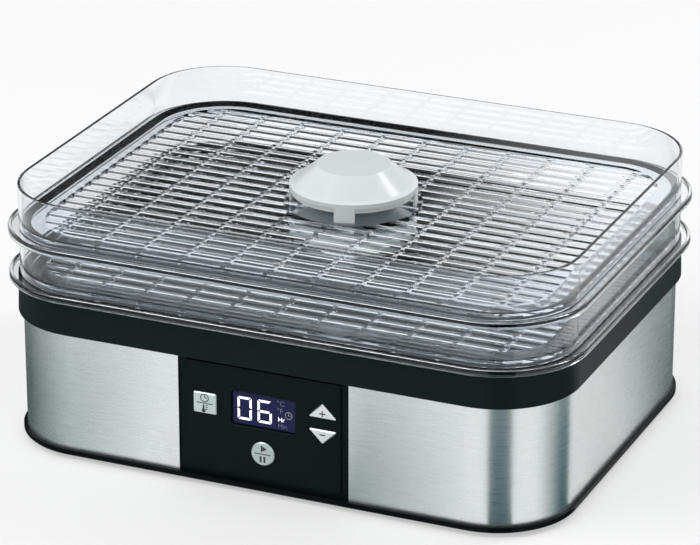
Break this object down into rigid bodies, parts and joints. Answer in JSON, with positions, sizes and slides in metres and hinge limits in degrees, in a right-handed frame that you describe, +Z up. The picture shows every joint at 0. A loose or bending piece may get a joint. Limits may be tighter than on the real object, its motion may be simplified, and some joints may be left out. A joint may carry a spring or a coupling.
{
  "type": "food dehydrator",
  "caption": "Rectangular food dehydrator: brushed steel base with front controls, fan and heater under a sunk deck, and clear stacking trays with slatted floors and legged air caps.",
  "frame": {"origin": "middle of the object's outline, on the floor under the feet", "axes": "+X to the right seen from the front, +Y to the rear, +Z up; the controls face -Y"},
  "size_m": [0.393, 0.302, 0.1744],
  "materials": {
    "brushed_steel": "fine horizontal brushing",
    "black_plastic": "semi-matte moulded",
    "fascia_black": "fine satin",
    "clear_plastic": "clear, polished",
    "cap_grey": "translucent grey",
    "cap_white": "translucent white",
    "button_silver": "satin silver",
    "display_lens": "polished, tinted",
    "rubber": "matt",
    "circuit_board": "lacquered",
    "inner_black": "moulded",
    "inner_metal": "zinc plated",
    "ribbon_grey": "plain"
  },
  "bodies": {
    "base": {"bottom_pan": "black_plastic", "rubber_feet": "rubber", "steel_wrap": "brushed_steel", "top_housing": "black_plastic", "housing_screws": "inner_metal", "outlet_grille": "black_plastic", "control_fascia": "fascia_black", "display_window": "display_lens", "display_module": "inner_black", "control_board": "circuit_board", "tact_switches": "inner_black", "board_screws": "inner_metal", "power_board": "circuit_board", "power_components": "inner_black", "ribbon_cable": "ribbon_grey", "motor_bracket": "inner_metal", "motor_screws": "inner_metal", "fan_motor": "inner_metal", "air_duct": "inner_black", "heating_element": "inner_metal", "heater_clips": "inner_metal", "thermal_cutout": "inner_metal", "temperature_sensor": "inner_metal", "cord_gland": "black_plastic", "gland_nut": "inner_black"},
    "fan": {"fan_rotor": "inner_black", "motor_shaft": "inner_metal"},
    "mode_button": {"mode_button": "button_silver"},
    "start_button": {"start_button": "button_silver"},
    "plus_button": {"plus_button": "button_silver"},
    "minus_button": {"minus_button": "button_silver"},
    "lower_tray": {"lower_tray_frame": "clear_plastic", "lower_tray_grille": "clear_plastic", "lower_air_cap": "cap_grey"},
    "upper_tray": {"upper_tray_frame": "clear_plastic", "upper_tray_grille": "clear_plastic", "upper_air_cap": "cap_white"}
  },
  "joints": [
    {"name": "lower_tray_lift", "type": "slide", "parent": "base", "child": "lower_tray", "axis": [0, 0, 1], "range_m": [0, 0.12]},
    {"name": "upper_tray_lift", "type": "slide", "parent": "lower_tray", "child": "upper_tray", "axis": [0, 0, 1], "range_m": [0, 0.12]},
    {"name": "fan_spin", "type": "hinge", "parent": "base", "child": "fan", "pos_m": [0, 0, 0.058], "axis": [0, 0, 1], "continuous": true},
    {"name": "mode_press", "type": "slide", "parent": "base", "child": "mode_button", "axis": [0, 1, 0], "range_m": [0, 0.0008], "stiffness_N_per_m": 1200},
    {"name": "start_press", "type": "slide", "parent": "base", "child": "start_button", "axis": [0, 1, 0], "range_m": [0, 0.0008], "stiffness_N_per_m": 1200},
    {"name": "plus_press", "type": "slide", "parent": "base", "child": "plus_button", "axis": [0, 1, 0], "range_m": [0, 0.0008], "stiffness_N_per_m": 1200},
    {"name": "minus_press", "type": "slide", "parent": "base", "child": "minus_button", "axis": [0, 1, 0], "range_m": [0, 0.0008], "stiffness_N_per_m": 1200}
  ]
}
